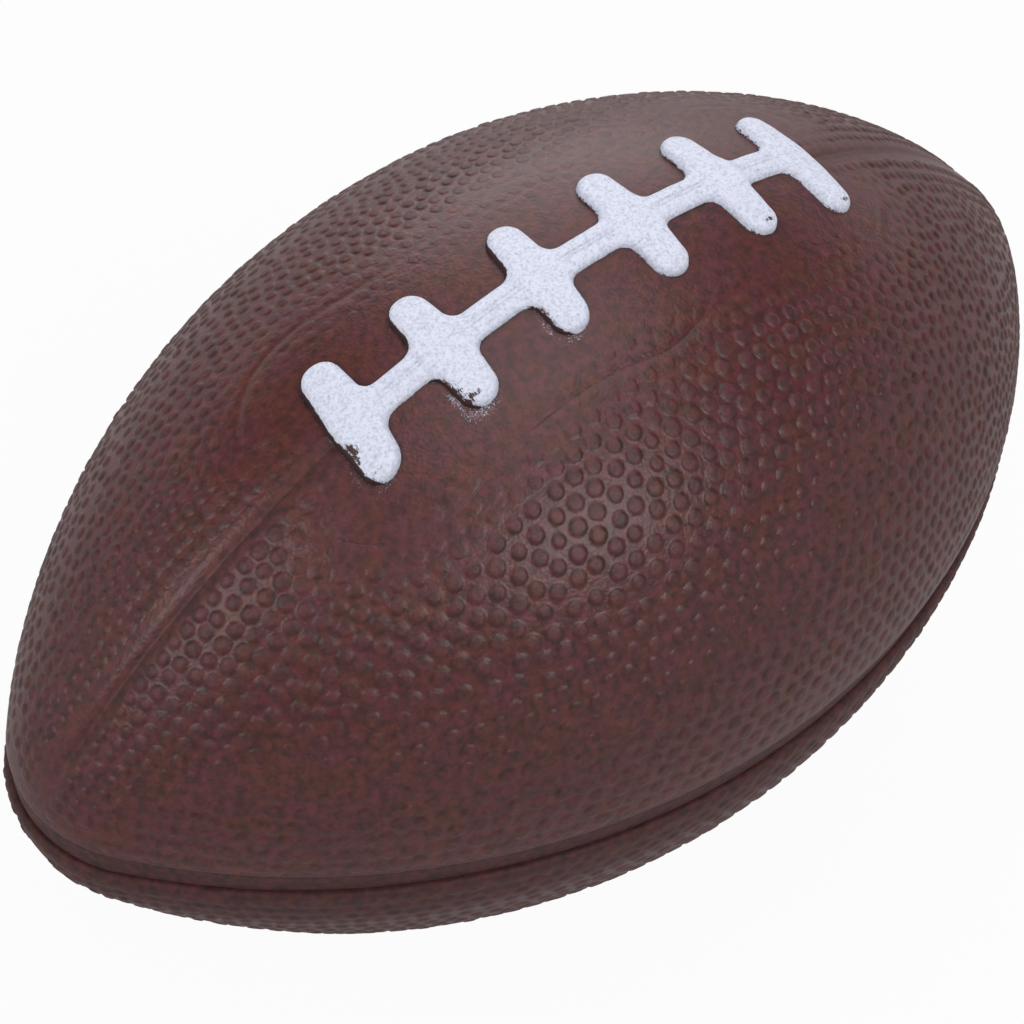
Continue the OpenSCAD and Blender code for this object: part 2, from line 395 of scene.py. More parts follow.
seam = {
    "grooveWidth": 3.1,
    "grooveDepth": 0.42,
    "grooveHollow": 1.6,  # the power that hollows the groove's sides
    "nearWall": (-0.4, 0.5),  # the -Y wall, rougher and in painted shade: its middle and width, in half grooves
    "wallDullShade": 0.75,
    "bow": 0.034,  # how fast the groove strays outside the laces, to -Y on the left and to +Y on the right
    "fadeStart": 68.5,  # along X, where the groove starts to run out
    "fadeEnd": 73.0,
    "channelHeight": 4.2,
    "channelDepth": 0.45,  # at its upper edge
    "channelSlant": 0.4,  # how much deeper it is at the parting line
    # the channel is rougher and darkened with painted shade
    "channelDullShade": 0.9,
    "lipRound": 0.14,  # half the height in which the channel's upper edge turns
    "lipWaver": 0.06,
    "crackDepth": 0.3,  # how far the channel's floor draws in at the parting line
    "crackHeight": 0.4,
    "rimRound": 0.8,  # height in which the lower half's edge is rounded off
    "rimDepth": 0.75,
    "rimWaver": 0.1,  # how unevenly the lower half's edge was trimmed
    "trimBand": 1.2,  # the height in which that shows
    "trimRise": 0.4,  # how far the trimmed edge stands proud, in wavers
    "rimDullShade": 0.8,
    "dullShadeBand": 9.0,  # height of the lower half's band along its rim that is rougher and darkened with painted shade
}


def skinHalf(name, upper, levels, columns):
    # One half of the skin. Its outside is the plain ball moved along its normals by a relief, the sum of
    # the domes, the groove, the crease, and the channel or the rounded rim. The painted shade at the
    # domes' feet and where the laces rise, the stray spray, how dull a point is and how much painted shade
    # that brings, and how far it lies from the crease, are kept for the material.
    rng = np.random.default_rng(grain["seed"] + upper)
    turns, points = halfGrid(levels, columns)
    rimStart = grain["rimGap"] + (seam["channelHeight"] if upper else 0)
    centres = [grainQuarter(rimStart, middle, rng) * (1, across, 1)
               for across, middle in ((1, grain["farSpacing"]), (-1, grain["spacing"]))]
    centres = np.concatenate(centres)
    x, y, z = points[..., 0], points[..., 1], points[..., 2]
    domes, paintedShade, tops = raiseDomes(levels, turns, points, centres, rng)
    fade = 1 - smoothStep(seam["fadeStart"], seam["fadeEnd"], np.abs(x))
    bow = seam["bow"] * np.sign(x) * np.maximum(np.abs(x) - laceEnd, 0)
    acrossGroove = (y - bow) / (seam["grooveWidth"] / 2)
    groove = seam["grooveDepth"] * np.maximum(1 - np.abs(acrossGroove), 0) ** seam["grooveHollow"] * fade
    relief = np.zeros_like(x)
    if upper:
        away = panelDistance(x, y - panel["shift"])
        faint = panel["faintShare"] * smoothStep(panel["bareHalf"], panel["faintHalf"], np.abs(y))
        whole = np.where(y < 0, panel["fadeIn"], panel["farFadeIn"])
        risen = smoothStep(0, 1, (away + panel["fadeWaver"] * waver(points, "fade")) / whole)
        risen = panel["firstShare"] + (1 - panel["firstShare"]) * risen
        strength = np.where(away < 0, faint, risen) * smoothStep(*panel["creaseClear"], np.abs(away))
        rise = smoothStep(0, grain["rimBand"], z - seam["channelHeight"])
        strength *= grain["rimShare"] + (1 - grain["rimShare"]) * rise
        relief += domes * strength
        worn = smoothStep(-0.25, 0.2, waver(points, "wear") + panel["farWear"] * (y > 0))
        worn *= panel["creaseFade"]
        relief -= panel["creaseDepth"] * bell(away, panel["creaseWidth"] / 2) * (1 - worn)
        crease = np.abs(away) + panel["wornLine"] * worn + panel["farLine"] * (y > 0)
        crease = np.minimum(crease, panel["lineReach"])
        relief -= groove * smoothStep(laceEnd - 1, laceEnd - 0.5, np.abs(x))
        lip = seam["channelHeight"] + seam["lipWaver"] * waver(points, "lip")
        sunk = 1 - smoothStep(-seam["lipRound"], seam["lipRound"], z - lip)
        slant = seam["channelSlant"] * (1 - z / seam["channelHeight"])
        relief -= (seam["channelDepth"] + slant) * sunk
        relief -= seam["crackDepth"] * (1 - smoothStep(0, seam["crackHeight"], z))
        spray, shade = sprayAndShadeOnSkin(x, y)
        # painted shade at the domes' feet and in the corner where the laces rise
        paintedShade = np.maximum(paintedShade * strength, shade)
        # The dull mark raises the roughness and darkens the colour as painted shade: in the channel, on
        # the groove's wall towards -Y and on the domes' tops
        wallMiddle, wallWidth = seam["nearWall"]
        nearWall = bell(acrossGroove - wallMiddle, wallWidth) * smoothStep(laceEnd - 1, laceEnd, np.abs(x))
        dullAndShade = np.maximum(seam["channelDullShade"] * sunk, seam["wallDullShade"] * nearWall * fade)
        dullAndShade = np.maximum(dullAndShade, grain["topDullShade"] * tops * strength)
    else:
        relief += domes - groove
        rounded = np.sqrt(np.maximum(1 - (1 - np.clip(z / seam["rimRound"], 0, 1)) ** 2, 0))
        relief -= seam["rimDepth"] * (1 - rounded)
        trimmed = 1 - smoothStep(0, seam["trimBand"], z)
        relief += seam["rimWaver"] * trimmed * (waver(points, "rim") + seam["trimRise"])
        spray, crease = np.zeros_like(x), np.full_like(x, panel["lineReach"])
        # a band along the rim, rougher and darkened with painted shade
        dullAndShade = seam["rimDullShade"] * (1 - smoothStep(0.4 * seam["dullShadeBand"], seam["dullShadeBand"], z))
        dullAndShade = np.maximum(dullAndShade, grain["topDullShade"] * tops)
    relief += ball["unevenness"] * waver(points, "skin")
    outside = points + outwardAt(points) * relief[..., None]
    outside[0, :, 2] = 0
    every = 8  # the inside has one column for so many of the outside's
    joined, faces = closedShell(outside, insideBall(turns[::every]), every, upper)
    rest = np.zeros(len(joined) - x.size)
    marks = {
        "paintedShade": np.append(paintedShade.ravel(), rest),
        "spray": np.append(spray.ravel(), rest),
        "dullAndShade": np.append(dullAndShade.ravel(), rest),
        "crease": np.append(crease.ravel(), rest + panel["lineReach"]),
    }
    piece = makeMesh(name, joined, faces, 1, marks)
    print(name, "has", len(centres), "domes and", len(piece.data.polygons), "faces")
    return piece


def closedShell(outside, inside, every, upper):
    # Points and faces of a half: the outside and the inside, each closed by a fan round its pole, and the
    # flat parting face between them, where one inner point faces `every` outer ones
    rows, columns = outside.shape[:2]
    count = rows * columns
    pole = np.array([[0, 0, ballRadius]])
    innerPole = pole - (0, 0, ball["skinThickness"])
    joined = np.concatenate([outside.reshape(-1, 3), pole, inside.reshape(-1, 3), innerPole])
    joined[:, 2] *= 1 if upper else -1
    number = np.arange(count).reshape(rows, columns)
    after = np.roll(number, -1, 1)
    outer = np.stack([number[:-1], after[:-1], after[1:], number[1:]], -1).reshape(-1, 4)
    outerCap = np.stack([number[-1], after[-1], np.full(columns, count)], -1)
    innerNumber = count + 1 + np.arange(inside[..., 0].size).reshape(inside.shape[:2])
    innerAfter = np.roll(innerNumber, -1, 1)
    inner = [innerAfter[:-1], innerNumber[:-1], innerNumber[1:], innerAfter[1:]]
    inner = np.stack(inner, -1).reshape(-1, 4)
    innerCap = np.stack([innerAfter[-1], innerNumber[-1], np.full(columns // every, len(joined) - 1)], -1)
    fan = after[0].reshape(-1, every)[:, ::-1]
    rim = [innerNumber[0][:, None], innerAfter[0][:, None], fan, number[0].reshape(-1, every)[:, :1]]
    faces = [outer, outerCap, inner, innerCap, np.concatenate(rim, 1)]
    return joined, faces if upper else [f[:, ::-1] for f in faces]


def insideBall(turns):
    # The inside of a half: rings on the ball that lies a skin's thickness further in
    inset = ball["skinThickness"]
    heights = np.sin(np.linspace(0, math.pi / 2, 33)[:-1]) * (ballRadius - inset)
    tip, longArc = ball["tipRadius"] - inset, sideRadius - inset
    turnHeight = longArc * math.cos(joinAngle) - sideDrop
    onSide = np.sqrt(np.maximum(longArc**2 - (heights + sideDrop) ** 2, 0))
    reach = np.where(heights > turnHeight, onSide, tipCentre + np.sqrt(np.maximum(tip**2 - heights**2, 0)))
    x = reach[:, None] * np.cos(turns)
    inTip = np.abs(x) > longArc * math.sin(joinAngle)
    out = np.sqrt(np.maximum(longArc**2 - x**2, 0)) - sideDrop
    out = np.where(inTip, np.sqrt(np.maximum(tip**2 - (np.abs(x) - tipCentre) ** 2, 0)), out)
    y = np.sqrt(np.maximum(out**2 - heights[:, None] ** 2, 0)) * np.where(turns < math.pi, 1, -1)
    return np.stack([x, y, np.broadcast_to(heights[:, None], x.shape)], -1)


laces = {
    "pitches": (13.9, 13.1, 12.2),  # between the two middle cross laces, then outwards
    "barWidth": 5.7,  # at the lengthwise lace
    "barEndWidth": 4.8,  # at the round ends
    "barHeight": 1.2,
    "crosses": (  # of each cross lace: slide along X, offset across, length, lean, share of the width
        (0.73, 0.48, 16.1, 0.13, 1.0),
        (0.5, 0.0, 16.3, 0.045, 1.0),
        (0.65, 0.38, 16.2, 0.1, 1.0),
        (0.48, 0.25, 16.9, 0.045, 1.0),
        (0.73, 0.15, 17.4, 0.01, 0.97),
        (0.6, -0.4, 17.4, 0.0, 0.86),
    ),
    "shift": 0.35,  # the whole relief lies a little to one side of the seam
    "stripWidth": 3.9,
    "stripHeight": 0.9,
    "stripOffset": 0.12,
    "stripTurn": 0.008,  # and the lengthwise lace isn't quite parallel to it
    "fillet": 1.5,
    "shoulder": 1.5,  # how far in from its outline a lace is still rounded
    "scoreGap": 0.5,
    "scoreWidth": 0.3,
    "scoreDepth": 0.2,
    "barBlend": (-0.6, 0.7),  # from a cross lace's outline, where the height passes to the strip's
    "roundness": 2.2,  # the power of the shoulder's curve
    "step": 0.15,  # mesh spacing
    "seat": 0.06,  # how far the underside sits in the skin
    "unevenness": 0.05,
}
barPlaces = np.cumsum([laces["pitches"][0] / 2, *laces["pitches"][1:]])
barPlaces = np.concatenate([-barPlaces[::-1], barPlaces])
laceEnd = barPlaces[-1] + laces["barWidth"] / 2
crosses = np.array(laces["crosses"])


def barDistance(x, y):
    # Distance to the nearest cross lace's outline, a leaning bar that narrows towards its round ends,
    # below zero inside it
    slide, offset, length, lean, width = crosses.T
    across = y[..., None] - offset
    away = np.abs(x[..., None] - slide - barPlaces - lean * y[..., None])
    share = np.clip(np.abs(across) / (length / 2 - laces["barEndWidth"] / 2), 0, 1)
    end = (laces["barWidth"] + (laces["barEndWidth"] - laces["barWidth"]) * share) / 2 * width
    past = np.maximum(np.abs(across) - (length / 2 - end), 0)
    return (np.hypot(away, past) - end).min(-1)


def stripDistance(x, y):
    # Distance to the lengthwise lace's outline, a strip that ends in the middle of the end bars
    y = y - laces["stripOffset"] - laces["stripTurn"] * x
    slides = (crosses[0, 0] + crosses[-1, 0]) / 2
    overX, overY = np.abs(x - slides) - barPlaces[-1], np.abs(y) - laces["stripWidth"] / 2
    return np.hypot(np.maximum(overX, 0), np.maximum(overY, 0)) + np.minimum(np.maximum(overX, overY), 0)


def laceDistance(x, y):
    # Both outlines joined, with a round fillet in each corner between them
    bar, strip, fillet = barDistance(x, y), stripDistance(x, y), laces["fillet"]
    corner = np.hypot(np.maximum(fillet - bar, 0), np.maximum(fillet - strip, 0))
    return np.maximum(fillet, np.minimum(bar, strip)) - corner


def slopesAt(x, y, nudge):
    # How fast the distance to the outline grows along X and along Y
    slopeX = (laceDistance(x + nudge, y) - laceDistance(x - nudge, y)) / (2 * nudge)
    slopeY = (laceDistance(x, y + nudge) - laceDistance(x, y - nudge)) / (2 * nudge)
    return slopeX, slopeY


def laceHeight(x, y):
    # Height above the skin: a rounded shoulder along the outline, then the cross lace's height or the
    # strip's lower one, with two fine scored lines along the strip
    away = laceDistance(x, y)
    share = np.clip(-away / laces["shoulder"], 0, 1)
    shoulder = (1 - (1 - share) ** laces["roundness"]) ** (1 / laces["roundness"])
    onBar = 1 - smoothStep(*laces["barBlend"], barDistance(x, y))
    tall = laces["stripHeight"] + (laces["barHeight"] - laces["stripHeight"]) * onBar
    across = y - laces["stripOffset"] - laces["stripTurn"] * x
    line = np.abs(np.abs(across) - laces["scoreGap"] / 2) / (laces["scoreWidth"] / 2)
    score = (1 - smoothStep(0, 1, line)) * (1 - onBar)
    return tall * shoulder - laces["scoreDepth"] * score, score


paint = {
    "fringe": 0.75,  # how densely stray paint lies on the skin right beside the laces
    "fringeWidth": 0.15,
    "puffs": ((0, 0.6, 0.9), (1, 0.95, 1.25), (2, 0.75, 1.0)),  # cross lace, density, size
    "most": 0.9,
    "cornerShade": 1.9,  # painted shade on the skin where the laces rise from it, as the shade at a dome's foot is 1
    "cornerWidth": 0.22,
    "edgeThinAndShade": 0.42,  # how much thinner the paint is right at every edge, a dark line of painted shade
    "edgeWidth": 0.17,
    "bareShadedWalls": (1.0, 1.0, 0.95, 0.15, 0.15, 0.15),  # of each cross lace, how bare the wall facing -X is, which shows partly as painted shade
    "wornEnds": (0.36, 0.5, 0.38, 0.3, 0.5, 0.5),  # and how worn its near end
    "wornPlaces": (-0.4, -0.6, 0, 0, 0.2, 0.4),  # and where along X that lies
    "wornSpots": ((-33.52, -2.8, 0.9, 1.7, 0.48), (25.9, -0.8, 0.4, 0.2, 0.45)),  # x, y, half sizes, loss
}


def nearEnds():
    # The near end of each cross lace
    slide, offset, length, lean, _ = crosses.T
    endY = offset - length / 2
    return barPlaces + slide + lean * endY, endY


def sprayAndShadeOnSkin(x, y):
    # How densely stray paint lies on the skin, a thin fringe along the laces and bells past the near ends
    # of some cross laces and beside them, and the painted shade in the corner where the laces rise from
    # the skin
    y = y - laces["shift"]
    away = np.maximum(laceDistance(x, y), 0)
    fringe = paint["fringe"] * np.exp(-away / paint["fringeWidth"])
    puffs = np.zeros_like(x)
    endX, endY = nearEnds()
    for place, share, size in paint["puffs"]:
        along, across = x - endX[place], y - endY[place]
        puffs += share * bell(along + 0.8, 1.9 * size) * bell(across + 0.1, 0.85 * size)
        puffs += 1.1 * share * bell(along + laces["barEndWidth"] / 2 + 0.3, 0.5) * bell(across - 2.4, 2.0)
    spray = np.maximum(fringe, np.minimum(puffs, paint["most"]))
    return spray, paint["cornerShade"] * bell(away, paint["cornerWidth"])


def paintCoverAndShade(x, y, facing, away):
    # How well the white covers a lace; where it doesn't, a brown darker than the skin's shows that is
    # partly painted shade: thin along every edge, a line of painted shade, and bare on the walls that face
    # -X, away from the spray and in painted shade, most on the first three cross laces and there beyond
    # the lengthwise lace
    slide, offset, length, lean, _ = crosses.T
    nearest = np.abs(x[..., None] - slide - barPlaces - lean * y[..., None]).argmin(-1)
    bare = np.array(paint["bareShadedWalls"])[nearest]
    beyond = np.where(nearest == 0, 0.6, 0.3) + np.where(nearest == 0, 0.4, 0.7) * smoothStep(-1.5, 0.5, y)
    wall = (1 - smoothStep(0.1, 0.55, -away)) * smoothStep(0.15, 0.75, -facing)
    # thin paint at every edge gives a dark line of painted shade
    coverWithShade = 1 - bare * beyond * wall - paint["edgeThinAndShade"] * (1 - smoothStep(0, paint["edgeWidth"], -away))
    # It is also worn towards the near ends, on the left sides of the first three, and in a few spots
    endX, endY = nearEnds()
    for place, (share, off) in enumerate(zip(paint["wornEnds"], paint["wornPlaces"])):
        along, across = x - endX[place], y - endY[place]
        coverWithShade -= share * bell(along - off, 1.3) * bell(across - 1.2 + 0.3 * off, 0.5)
        if place < 3:
            coverWithShade -= 0.85 * share * bell(along + 1.7, 0.75) * bell(across - 3.2, 2.2)
    for spotX, spotY, halfX, halfY, share in paint["wornSpots"]:
        coverWithShade -= share * bell(x - spotX, halfX) * bell(y - spotY, halfY)
    return np.clip(coverWithShade, 0, 1)


def laceMoulding(name):
    # The laces as one closed relief: grid cells inside the outline, the edge points moved onto it, a top
    # raised by laceHeight, and an underside just inside the skin
    step = laces["step"]
    spanX = laceEnd + 2
    spanY = crosses[:, 2].max() / 2 + 1
    x, y = np.meshgrid(np.arange(-spanX, spanX, step), np.arange(-spanY, spanY, step))
    away = laceDistance(x, y)
    inside = away < step * 0.45  # with the points nearly half a cell outside, which are then drawn in
    cell = inside[:-1, :-1] & inside[1:, :-1] & inside[:-1, 1:] & inside[1:, 1:]
    around = np.zeros((4, *x.shape), bool)
    around[0, :-1, :-1], around[1, :-1, 1:], around[2, 1:, :-1], around[3, 1:, 1:] = cell, cell, cell, cell
    used, whole = around.any(0), around.all(0)
    edge = used & ~whole
    for _ in range(3):
        away = laceDistance(x, y)
        slopeX, slopeY = slopesAt(x, y, 0.01)
        size = np.maximum(slopeX**2 + slopeY**2, 0.2)
        x = np.where(edge, x - away * slopeX / size, x)
        y = np.where(edge, y - away * slopeY / size, y)
    height, score = laceHeight(x, y)
    coverWithShade = paintCoverAndShade(x, y, slopesAt(x, y, 0.05)[0], laceDistance(x, y))
    y = y + laces["shift"]
    base = np.stack([x, y, np.sqrt(np.maximum(radiusAt(x) ** 2 - y**2, 0))], -1)
    height = height + laces["unevenness"] * waver(base, "laces") * smoothStep(0.1, 0.6, height)
    top = base + outwardAt(base) * height[..., None]
    under = base - outwardAt(base) * laces["seat"]
    number = np.full(x.shape, -1)
    number[used] = np.arange(used.sum())
    total = used.sum()
    corners = [number[:-1, :-1][cell], number[:-1, 1:][cell], number[1:, 1:][cell], number[1:, :-1][cell]]
    upFaces = np.stack(corners, -1)
    downFaces = upFaces[:, ::-1] + total
    edges = np.concatenate([np.stack([upFaces[:, i], upFaces[:, (i + 1) % 4]], -1) for i in range(4)])
    key = edges.min(1) * np.int64(total) + edges.max(1)
    _, first, times = np.unique(key, return_index=True, return_counts=True)
    border = edges[first[times == 1]]
    walls = np.stack([border[:, 1], border[:, 0], border[:, 0] + total, border[:, 1] + total], -1)
    points = np.concatenate([top[used], under[used]])
    marks = {"coverWithShade": np.concatenate([coverWithShade[used], np.zeros(total)]),
             "score": np.concatenate([score[used], np.zeros(total)])}
    piece = makeMesh(name, points, [upFaces, downFaces, walls], 0, marks)
    print(name, "has", len(piece.data.polygons), "faces")
    return piece


def linear(hexColour):
    # sRGB hex to the linear values that the shaders take
    parts = [int(hexColour[i:i + 2], 16) / 255 for i in (1, 3, 5)]
    return (*[c / 12.92 if c <= 0.04045 else ((c + 0.055) / 1.055) ** 2.4 for c in parts], 1)


def addNode(tree, kind, sockets=None, **settings):
    # Adds a shader node. settings are its own properties, and sockets its inputs: a node, for its first
    # output, or an output is linked, and anything else is set. A Mix node takes its colours at 6 and 7 and
    # gives one at 2.
    node = tree.nodes.new("ShaderNode" + kind)
    for key, value in settings.items():
        setattr(node, key, value)
    for key, value in (sockets or {}).items():
        if isinstance(value, bpy.types.Node):
            value = value.outputs[0]
        if isinstance(value, bpy.types.NodeSocket):
            tree.links.new(value, node.inputs[key])
        else:
            node.inputs[key].default_value = value
    return node


def newMaterial(name):
    # An empty material, its node tree and the place on the object, in metres
    material = bpy.data.materials.new(name)
    material.use_nodes = True
    tree = material.node_tree
    tree.nodes.clear()
    place = addNode(tree, "TexCoord").outputs["Object"]
    return material, tree, place


def finishMaterial(tree, sockets):
    shader = addNode(tree, "BsdfPrincipled", sockets)
    addNode(tree, "OutputMaterial", {"Surface": shader})


def selfSkinnedFoam():
    # Flexible polyurethane that skinned over against the mould: matte and slightly waxy, dyed brown right
    # through, a little redder in some places than in others, with stray white paint beside the laces, and
    # painted shade at the domes' feet, in the crease, on the dull places and where the laces rise
    look = {
        "brown": "#5d2a2b",
        "redder": "#5e2933",
        "warmer": "#5e2d24",
        "deep": "#1c0f0e",  # painted shade at the domes' feet, in the crease and on dull places, and the mottles' pits
        "footShade": 0.25,
        "mottle": 0.58,
        "white": "#b4b5c4",
        "roughness": 0.37,
        "dullRoughness": 0.7,
        "grains": (  # of each noise: size in millimetres, detail, roughness
            ("patch", 2.2, 3.0, 0.6),
            ("warm", 2.2 / 0.6, 4.0, 0.65),
            ("mottle", 1.05, 3.0, 0.62),
            ("fleck", 0.17, 2.0, 0.7),
            ("pores", 0.42, 2.0, 0.5),
            ("lumps", 0.9, 1.0, 0.5),
        ),
    }
    material, tree, place = newMaterial("self_skinned_foam_moulded_brown")
    noise = {}
    for name, size, detail, rough in look["grains"]:
        noise[name] = addNode(tree, "TexNoise", {"Vector": place, "Scale": 1 / (size * mm),
                                                 "Detail": detail, "Roughness": rough})
    paintedShade, dullAndShade, crease, spray = (addNode(tree, "Attribute", attribute_name=mark).outputs["Fac"]
                                 for mark in ("paintedShade", "dullAndShade", "crease", "spray"))
    first = addNode(tree, "Mix", {"Factor": noise["patch"], 6: linear(look["brown"]),
                                  7: linear(look["redder"])}, data_type="RGBA")
    warmShare = addNode(tree, "MapRange", {"Value": noise["warm"], "From Min": 0.42, "From Max": 0.62})
    second = addNode(tree, "Mix", {"Factor": warmShare, 6: first.outputs[2], 7: linear(look["warmer"])},
                     data_type="RGBA")
    # the crease's line: painted shade at its bottom, and a bump
    line = addNode(tree, "MapRange", {"Value": crease, "From Max": panel["lineWidth"] / 2, "To Min": 1.0,
                                      "To Max": 0.0}, interpolation_type="SMOOTHSTEP")
    # Painted shade: the domes' feet, the laces' corner, the crease's line and the dull places darken the
    # skin towards the deep colour; the pits are the foam's own mottle
    either = addNode(tree, "Math", {0: paintedShade, 1: dullAndShade}, operation="MAXIMUM")
    dark = addNode(tree, "Math", {0: line, 1: either}, operation="MAXIMUM")
    pits = addNode(tree, "MapRange", {"Value": noise["mottle"], "To Min": look["mottle"], "To Max": 0.0,
                                      "From Min": 0.36, "From Max": 0.64})
    deeper = addNode(tree, "Math", {0: dark, 1: look["footShade"], 2: pits}, operation="MULTIPLY_ADD",
                     use_clamp=True)
    shaded = addNode(tree, "Mix", {"Factor": deeper, 6: second.outputs[2], 7: linear(look["deep"])},
                     data_type="RGBA")
    dotted = addNode(tree, "Math", {0: spray, 1: 0.3, 2: noise["fleck"]}, operation="MULTIPLY_ADD")
    dots = addNode(tree, "MapRange", {"Value": dotted, "From Min": 0.75, "From Max": 0.9})
    colour = addNode(tree, "Mix", {"Factor": dots, 6: shaded.outputs[2], 7: linear(look["white"])},
                     data_type="RGBA")
    rough = addNode(tree, "MapRange", {"Value": dullAndShade, "To Min": look["roughness"],
                                       "To Max": look["dullRoughness"]})
    fine = addNode(tree, "Bump", {"Height": noise["pores"], "Strength": 0.55, "Distance": 0.1 * mm})
    lumpy = addNode(tree, "Bump", {"Height": noise["lumps"], "Strength": 0.25, "Distance": 0.06 * mm,
                                   "Normal": fine})
    bump = addNode(tree, "Bump", {"Height": line, "Strength": 0.6, "Distance": 0.12 * mm,
                                  "Normal": lumpy}, invert=True)
    finishMaterial(tree, {"Base Color": colour.outputs[2], "Roughness": rough, "IOR": 1.48,
                          "Normal": bump})
    return material


def sprayedWhite():
    # Matte white paint sprayed on the moulded laces through a mask: a grainy, faintly blue white, with
    # the brown foam bare where the spray didn't reach, in a brown darker than the skin's that is partly
    # painted shade, and painted shade in the scored lines
    look = {
        "white": "#e0e4f5",
        # grey specks of the paint's grain, and painted shade in the scored lines
        "greyed": "#a4a7bb",
        # the bare foam, darker than the skin's brown: partly painted shade
        "brown": "#3e2423",
        "roughness": 0.62,
        "grainSize": 0.36,  # millimetres
        "cloudSize": 0.7,
        "edgeSize": 0.28,
    }
    material, tree, place = newMaterial("matte_white_spray_paint_on_foam")
    score, coverWithShade = (addNode(tree, "Attribute", attribute_name=mark).outputs["Fac"]
                    for mark in ("score", "coverWithShade"))
    fine = addNode(tree, "TexNoise", {"Vector": place, "Scale": 1 / (look["grainSize"] * mm),
                                      "Detail": 2.0, "Roughness": 0.7})
    cloud = addNode(tree, "TexNoise", {"Vector": place, "Scale": 1 / (look["cloudSize"] * mm),
                                       "Detail": 2.0})
    mixed = addNode(tree, "Math", {0: cloud, 1: 0.35, 2: fine}, operation="MULTIPLY_ADD")
    speck = addNode(tree, "MapRange", {"Value": mixed, "From Min": 0.6, "From Max": 1.06})
    # the scored lines greyed as painted shade; the specks are the paint's grain
    specksAndScoreShade = addNode(tree, "Math", {0: score, 1: 0.35, 2: speck}, operation="MULTIPLY_ADD", use_clamp=True)
    white = addNode(tree, "Mix", {"Factor": specksAndScoreShade, 6: linear(look["white"]), 7: linear(look["greyed"])},
                    data_type="RGBA")
    streaked = addNode(tree, "Mapping", {"Vector": place, "Rotation": (0, 0, 0.35),
                                         "Scale": (1, 0.45, 1)})
    ragged = addNode(tree, "TexNoise", {"Vector": streaked, "Scale": 1 / (look["edgeSize"] * mm),
                                        "Detail": 3.0, "Roughness": 0.7})
    total = addNode(tree, "Math", {0: ragged, 1: coverWithShade}, operation="ADD")
    painted = addNode(tree, "MapRange", {"Value": total, "From Min": 0.99, "From Max": 1.09})
    colour = addNode(tree, "Mix", {"Factor": painted, 6: linear(look["brown"]), 7: white.outputs[2]},
                     data_type="RGBA")
    bump = addNode(tree, "Bump", {"Height": fine, "Strength": 0.7, "Distance": 0.12 * mm})
    finishMaterial(tree, {"Base Color": colour.outputs[2], "Roughness": look["roughness"], "IOR": 1.5,
                          "Normal": bump})
    return material


def openFoam():
    # Flexible polyurethane foam as it is inside: pale, dull and full of small round cells
    look = {"cream": "#b79f7e", "shade": "#7d6549", "cellSize": 0.5}
    material, tree, place = newMaterial("flexible_polyurethane_foam_cells")
    cells = addNode(tree, "TexVoronoi", {"Vector": place, "Scale": 1 / (look["cellSize"] * mm)})
    colour = addNode(tree, "Mix", {"Factor": cells, 6: linear(look["shade"]), 7: linear(look["cream"])},
                     data_type="RGBA")
    bump = addNode(tree, "Bump", {"Height": cells, "Strength": 0.8, "Distance": 0.2 * mm})
    finishMaterial(tree, {"Base Color": colour.outputs[2], "Roughness": 0.9, "Normal": bump})
    return material


def dress(piece, material):
    piece.data.materials.clear()
    piece.data.materials.append(material)


def placed(right, up, back, spot):
    # The matrix that stands an object at spot with these three directions as its own axes
    return Matrix([*np.column_stack([right, up, back, spot]).tolist(), [0, 0, 0, 1]])


def ringLevels(channelRings, fieldRings):
    # Heights of the rings: close together at the channel's lip or the rim, then evenly round the ball
    if channelRings:
        near = seam["channelHeight"] + np.array([-0.3, -0.16, -0.08, 0, 0.08, 0.16, 0.3])
        low = np.concatenate([[0, 0.12, 0.3, 0.5], np.linspace(0.8, near[0] - 0.25, channelRings)])
    else:
        near = np.array([0, 0.04, 0.1, 0.18, 0.28])
        low = []
    first = math.asin((near[-1] + 0.15) / ballRadius)
    field = np.sin(np.linspace(first, math.pi / 2, fieldRings + 1)[:-1]) * ballRadius
    return np.concatenate([low, near, field])


print("moulding the skins")
skinUp = skinHalf("pebbled_upper_skin", True, ringLevels(10, 360), 1440)
skinDown = skinHalf("pebbled_lower_skin", False, ringLevels(0, 250), 1120)
print("moulding the laces")
laceRelief = laceMoulding("painted_laces")

print("materials")
foamSkin = selfSkinnedFoam()
dress(skinUp, foamSkin)
dress(skinDown, foamSkin)
dress(laceRelief, sprayedWhite())
dress(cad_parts["foam_core"], openFoam())

for piece, node, slot in ((skinUp, "upper_skin", "skin"), (skinDown, "lower_skin", "skin"),
                          (laceRelief, "laces", "lace_paint")):
    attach(piece, "root")
    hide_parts(node)

print("stage, lamps and camera")
stage = {
    "floorSize": 6.0,  # metres
    "floorColour": "#dadada",
    "whiteShare": 0.95,  # how much of plain white the camera sees on the floor
    "walls": 1.05,  # how bright the studio is round the horizon
    "wallTop": 0.45,  # up to where its walls reach, as the sine of the height angle
    "ceiling": 0.1,
    "brightSide": 50,  # the azimuth at which its walls are brightest
    "brightShare": 0.35,  # and how much brighter they are there
}
bpy.ops.mesh.primitive_plane_add(size=stage["floorSize"], location=(0, 0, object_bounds()[0][2]))
floor = bpy.context.object
floor.name = "floor"
material, tree, _ = newMaterial("pale_paper_floor")
paper = addNode(tree, "BsdfDiffuse", {"Color": linear(stage["floorColour"])})
white = addNode(tree, "Emission", {"Color": (1, 1, 1, 1), "Strength": 1.0})
path = addNode(tree, "LightPath")
seen = addNode(tree, "Math", {0: path.outputs["Is Camera Ray"], 1: stage["whiteShare"]},
               operation="MULTIPLY")
both = addNode(tree, "MixShader", {0: seen, 1: paper, 2: white})
addNode(tree, "OutputMaterial", {"Surface": both})
dress(floor, material)

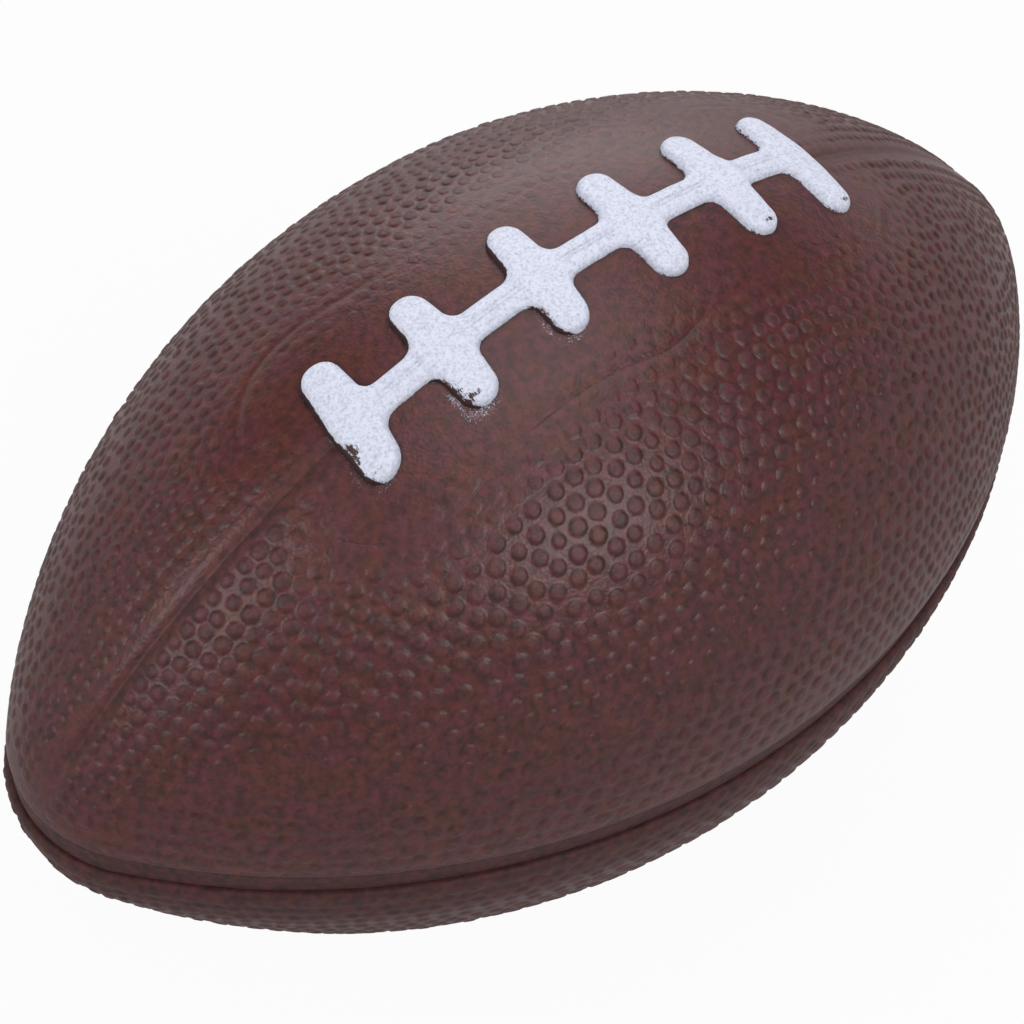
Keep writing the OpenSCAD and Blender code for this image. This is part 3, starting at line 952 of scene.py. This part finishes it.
world = bpy.data.worlds.new("studio")
bpy.context.scene.world = world
world.use_nodes = True
tree = world.node_tree
tree.nodes.clear()
path = addNode(tree, "LightPath")
direct = addNode(tree, "Math", {0: path.outputs["Is Camera Ray"], 1: path.outputs["Is Transmission Ray"]},
                 operation="MAXIMUM")
way = addNode(tree, "TexCoord").outputs["Generated"]
lift = addNode(tree, "SeparateXYZ", {0: way})
studio = addNode(tree, "MapRange", {"Value": lift.outputs["Z"], "From Max": stage["wallTop"],
                                    "To Min": stage["walls"], "To Max": stage["ceiling"]},
                 interpolation_type="SMOOTHSTEP")
brightWay = math.radians(stage["brightSide"])
facing = addNode(tree, "VectorMath", {0: way, 1: (math.cos(brightWay), math.sin(brightWay), 0)},
                 operation="DOT_PRODUCT")
sided = addNode(tree, "MapRange", {"Value": facing.outputs["Value"], "To Min": 1.0,
                                   "To Max": 1 + stage["brightShare"]})
lit = addNode(tree, "Math", {0: studio, 1: sided}, operation="MULTIPLY")
strength = addNode(tree, "Mix", {"Factor": direct, 2: lit, 3: 1.0}, data_type="FLOAT")
sky = addNode(tree, "Background", {"Color": (1, 1, 1, 1), "Strength": strength})
addNode(tree, "OutputWorld", {"Surface": sky})

lamps = (  # name, azimuth, height angle, distance and size in metres, power in watts
    ("front_box", -86, 50, 0.6, 0.26, 1.08),
    ("side_box", -135, 52, 0.6, 0.34, 0.25),
    ("left_box", 163, 40, 0.6, 0.26, 0.8),
    ("back_box", 55, 28, 0.6, 0.5, 1.0),
    ("top_box", 30, 78, 0.7, 0.6, 1.7),
)
for name, azimuth, lift, away, size, power in lamps:
    lamp = bpy.data.lights.new(name, "AREA")
    lamp.shape = "DISK"
    lamp.size = size
    lamp.energy = power
    holder = bpy.data.objects.new(name, lamp)
    turn, rise = math.radians(azimuth), math.radians(lift)
    back = np.array([math.cos(turn) * math.cos(rise), math.sin(turn) * math.cos(rise), math.sin(rise)])
    right = np.array([-math.sin(turn), math.cos(turn), 0])
    holder.matrix_world = placed(right, np.cross(back, right), back, away * back)
    bpy.context.scene.collection.objects.link(holder)

view = {
    "azimuth": -47.04,  # degrees; the camera stands beyond the left tip, on the near side
    "elevation": 53.56,
    "roll": 7.86,
    "distance": 317.02,  # millimetres
    "aimAcross": 4.36,  # how far the ball's middle lies from the middle of the picture
    "aimUp": 1.90,
    "focalPixels": 2614.93,
    "framePixels": 1024,
    "sensorWidth": 36,
}
turn, rise, roll = (math.radians(view[key]) for key in ("azimuth", "elevation", "roll"))
right = np.array([math.cos(turn), math.sin(turn), 0])
back = np.array([math.sin(turn) * math.cos(rise), -math.cos(turn) * math.cos(rise), math.sin(rise)])
up = np.cross(back, right)
across = math.cos(roll) * right + math.sin(roll) * up
upward = -math.sin(roll) * right + math.cos(roll) * up
spot = (-view["aimAcross"] * across - view["aimUp"] * upward + view["distance"] * back) * mm
lens = bpy.data.cameras.new("photo_view")
lens.sensor_width = view["sensorWidth"]
lens.lens = view["focalPixels"] / view["framePixels"] * view["sensorWidth"]
lens.clip_start = 0.01
camera = bpy.data.objects.new("photo_view", lens)
camera.matrix_world = placed(across, upward, back, spot)
bpy.context.scene.collection.objects.link(camera)
bpy.context.scene.camera = camera
bpy.context.scene.view_settings.view_transform = "Standard"

print("ready")
